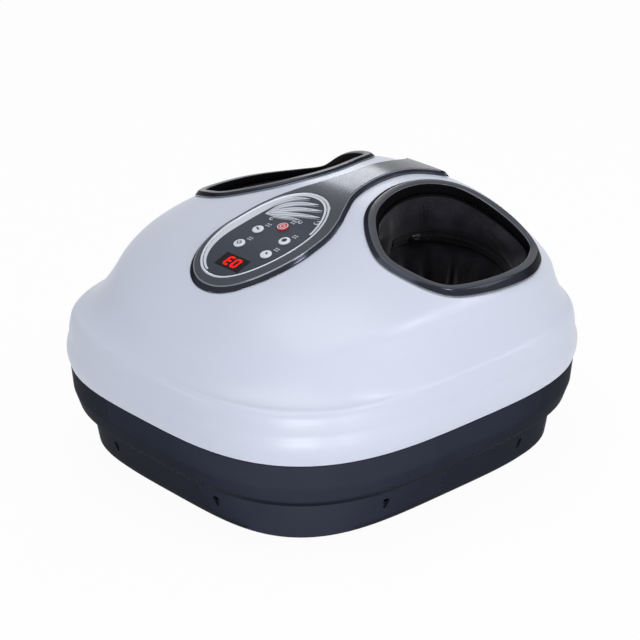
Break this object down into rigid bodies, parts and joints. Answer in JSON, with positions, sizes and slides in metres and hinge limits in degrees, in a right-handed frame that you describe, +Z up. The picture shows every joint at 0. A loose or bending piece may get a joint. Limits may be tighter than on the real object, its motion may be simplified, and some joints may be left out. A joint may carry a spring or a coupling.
{
  "type": "foot massager",
  "caption": "Heated kneading foot massager: white domed shell with two ringed foot openings, dark fabric liners, a raised control console and a stepped black base.",
  "frame": {"origin": "centre of the footprint at the floor, under the rubber feet", "axes": "+Z up, -Y towards the toe side with the controls, +X to the right"},
  "size_m": [0.4254, 0.4614, 0.2649],
  "materials": {
    "bag_vinyl": "welded flexible sheet",
    "black_gloss": "semi-gloss moulded black",
    "black_rubber": "matt rubber",
    "board_green": "laminate with solder mask",
    "button_white": "glossy white",
    "chrome": "plated",
    "clear_hose": "flexible tube",
    "dark_fabric": "dark woven fabric",
    "gear_nylon": "natural nylon",
    "grey_plastic": "matt moulded grey",
    "gunmetal": "metallic grey lacquer on a moulding",
    "module_red": "display module",
    "red_gloss": "glossy red",
    "slate": "slate grey, satin",
    "smoked_lens": "smoked clear lens",
    "steel": "bright steel",
    "white_gloss": "glossy moulded, bluish white"
  },
  "bodies": {
    "housing": {"air_bag_left": "bag_vinyl", "air_bag_right": "bag_vinyl", "air_hose_left": "clear_hose", "air_hose_right": "clear_hose", "air_pump": "grey_plastic", "base_tub": "black_gloss", "bearing_front_left": "grey_plastic", "bearing_front_right": "grey_plastic", "bearing_rear_left": "grey_plastic", "bearing_rear_right": "grey_plastic", "console_bezel": "chrome", "console_board": "board_green", "console_face": "slate", "console_trim": "gunmetal", "display_module": "module_red", "display_window": "smoked_lens", "drive_belt": "black_rubber", "drive_motor": "steel", "foot_bed_left": "grey_plastic", "foot_bed_right": "grey_plastic", "foot_liner_left": "dark_fabric", "foot_liner_right": "dark_fabric", "foot_pad_front_left": "black_rubber", "foot_pad_front_right": "black_rubber", "foot_pad_rear_left": "black_rubber", "foot_pad_rear_right": "black_rubber", "gearbox_cover": "grey_plastic", "gearbox_tray": "grey_plastic", "main_board": "board_green", "mains_inlet": "black_gloss", "opening_ring_left": "gunmetal", "opening_ring_right": "gunmetal", "power_supply": "steel", "screw_front_left": "steel", "screw_front_right": "steel", "screw_rear_left": "steel", "screw_rear_right": "steel", "top_shell": "white_gloss", "zip_tape_left": "dark_fabric", "zip_tape_right": "dark_fabric"},
    "rear_shaft_set": {"rear_shaft": "steel", "worm_wheel": "gear_nylon", "rear_pulley": "grey_plastic", "roller_rear_right": "grey_plastic", "roller_rear_left": "grey_plastic"},
    "front_shaft_set": {"front_shaft": "steel", "front_pulley": "grey_plastic", "roller_front_right": "grey_plastic", "roller_front_left": "grey_plastic"},
    "motor_rotor": {"motor_shaft": "steel"},
    "slider_right": {"zip_slider_right": "steel"},
    "slider_left": {"zip_slider_left": "steel"},
    "pull_right": {"zip_pull_right": "steel"},
    "pull_left": {"zip_pull_left": "steel"},
    "button_power_body": {"button_power": "red_gloss"},
    "button_heat_body": {"button_heat": "button_white"},
    "button_mode_body": {"button_mode": "button_white"},
    "button_intensity_body": {"button_intensity": "button_white"},
    "button_timer_body": {"button_timer": "button_white"}
  },
  "joints": [
    {"name": "button_power_press", "type": "slide", "parent": "housing", "child": "button_power_body", "axis": [-0.0003, 0.2606, -0.9654], "range_m": [0, 0.0008], "stiffness_N_per_m": 300, "springref_m": -0.0006},
    {"name": "button_heat_press", "type": "slide", "parent": "housing", "child": "button_heat_body", "axis": [0.0048, 0.2494, -0.9684], "range_m": [0, 0.0008], "stiffness_N_per_m": 300, "springref_m": -0.0006},
    {"name": "button_mode_press", "type": "slide", "parent": "housing", "child": "button_mode_body", "axis": [0.0039, 0.2769, -0.9609], "range_m": [0, 0.0008], "stiffness_N_per_m": 300, "springref_m": -0.0006},
    {"name": "button_intensity_press", "type": "slide", "parent": "housing", "child": "button_intensity_body", "axis": [-0.0102, 0.2494, -0.9683], "range_m": [0, 0.0008], "stiffness_N_per_m": 300, "springref_m": -0.0006},
    {"name": "button_timer_press", "type": "slide", "parent": "housing", "child": "button_timer_body", "axis": [-0.0117, 0.2772, -0.9607], "range_m": [0, 0.0008], "stiffness_N_per_m": 300, "springref_m": -0.0006},
    {"name": "rear_roller_spin", "type": "hinge", "parent": "housing", "child": "rear_shaft_set", "pos_m": [0, 0.05, 0.0415], "axis": [1, 0, 0], "continuous": true},
    {"name": "front_roller_spin", "type": "hinge", "parent": "housing", "child": "front_shaft_set", "pos_m": [0, -0.06001, 0.0415], "axis": [1, 0, 0], "continuous": true},
    {"name": "motor_spin", "type": "hinge", "parent": "housing", "child": "motor_rotor", "pos_m": [0, 0.086, 0.0661], "axis": [0, 1, 0], "continuous": true},
    {"name": "zip_slide_right", "type": "hinge", "parent": "housing", "child": "slider_right", "pos_m": [0.113, 0.05801, 0.1965], "axis": [0.225, 0, 0.9744], "range_deg": [-165, 15]},
    {"name": "zip_pull_right_turn", "type": "hinge", "parent": "slider_right", "child": "pull_right", "pos_m": [0.05839, 0.06992, 0.20911], "axis": [0.225, 0, 0.9744], "range_deg": [-160, 0]},
    {"name": "zip_slide_left", "type": "hinge", "parent": "housing", "child": "slider_left", "pos_m": [-0.113, 0.05801, 0.1965], "axis": [-0.225, 0, 0.9744], "range_deg": [-15, 165]},
    {"name": "zip_pull_left_turn", "type": "hinge", "parent": "slider_left", "child": "pull_left", "pos_m": [-0.05839, 0.06992, 0.20911], "axis": [-0.225, 0, 0.9744], "range_deg": [0, 160]}
  ],
  "couplings": [
    {"joint": "front_roller_spin", "follows": "rear_roller_spin", "ratio": 1},
    {"joint": "motor_spin", "follows": "rear_roller_spin", "ratio": -18}
  ]
}
